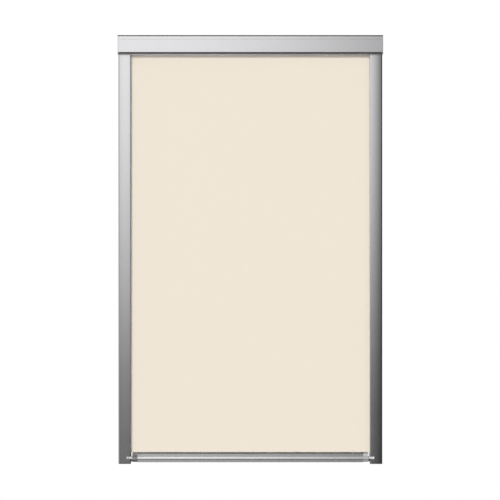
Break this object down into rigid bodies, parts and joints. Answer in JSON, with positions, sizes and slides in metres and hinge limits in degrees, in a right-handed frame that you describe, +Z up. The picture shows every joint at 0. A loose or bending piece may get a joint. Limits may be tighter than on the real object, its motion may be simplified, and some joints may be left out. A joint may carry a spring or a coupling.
{
  "type": "blackout roller blind",
  "caption": "Roof-window blackout roller blind: pale cloth on a spring roller in an aluminium header, edges guided in side rails, drawn down by a finger-grip pull bar.",
  "frame": {"origin": "middle of the four bracket screws, on the sash face that the blind is screwed to, at mid height of the header", "axes": "+X to the right as seen from the room, +Y away from the room into the sash, +Z up along the rails"},
  "size_m": [0.612, 0.0441, 0.9896],
  "materials": {
    "satin_aluminium": "satin anodised, natural silver",
    "grey_plastic": "moulded, silver lacquer to match the aluminium",
    "dark_plastic": "moulded, dark grey",
    "white_plastic": "moulded acetal, natural white",
    "zinc_steel": "bright zinc plated",
    "spring_steel": "oiled spring steel",
    "grey_pile": "short woven pile",
    "brake_felt": "pressed felt",
    "blackout_cloth": "fine plain weave, cream, coated back"
  },
  "bodies": {
    "frame": {"header_casing": "satin_aluminium", "left_end_cap": "grey_plastic", "right_end_cap": "grey_plastic", "end_cap_screws": "zinc_steel", "header_pile": "grey_pile", "left_bracket": "zinc_steel", "right_bracket": "zinc_steel", "idle_bush": "white_plastic", "spring_arbor": "zinc_steel", "arbor_collar": "dark_plastic", "left_rail_base": "satin_aluminium", "right_rail_base": "satin_aluminium", "left_rail_cover": "satin_aluminium", "right_rail_cover": "satin_aluminium", "left_rail_foot": "grey_plastic", "right_rail_foot": "grey_plastic", "left_front_pile": "grey_pile", "right_front_pile": "grey_pile", "left_rear_pile": "grey_pile", "right_rear_pile": "grey_pile", "cloth_sheet": "blackout_cloth"},
    "roller": {"roller_tube": "satin_aluminium", "cloth_roll": "blackout_cloth", "cloth_spline": "white_plastic", "idle_plug": "dark_plastic", "idle_pin": "zinc_steel", "spring_end_plug": "dark_plastic", "tube_anchor": "dark_plastic", "torsion_spring": "spring_steel"},
    "bar": {"pull_bar": "satin_aluminium", "grip_strip": "satin_aluminium", "hem_rod": "white_plastic", "bar_seal": "grey_pile", "left_bar_cap": "grey_plastic", "right_bar_cap": "grey_plastic", "left_joiner": "dark_plastic", "right_joiner": "dark_plastic", "left_runner": "white_plastic", "right_runner": "white_plastic", "left_brake_spring": "spring_steel", "right_brake_spring": "spring_steel", "left_brake_pad": "brake_felt", "right_brake_pad": "brake_felt"}
  },
  "joints": [
    {"name": "bar_slide", "type": "slide", "parent": "frame", "child": "bar", "axis": [0, 0, 1], "range_m": [0, 0.913], "deforming": ["cloth_sheet"]},
    {"name": "roller_turn", "type": "hinge", "parent": "frame", "child": "roller", "pos_m": [0, -0.02372, 0.002], "axis": [1, 0, 0], "range_deg": [0, 3870], "deforming": ["torsion_spring"]}
  ],
  "couplings": [
    {"joint": "roller_turn", "follows": "bar_slide", "rad_per_m": 73.7}
  ]
}
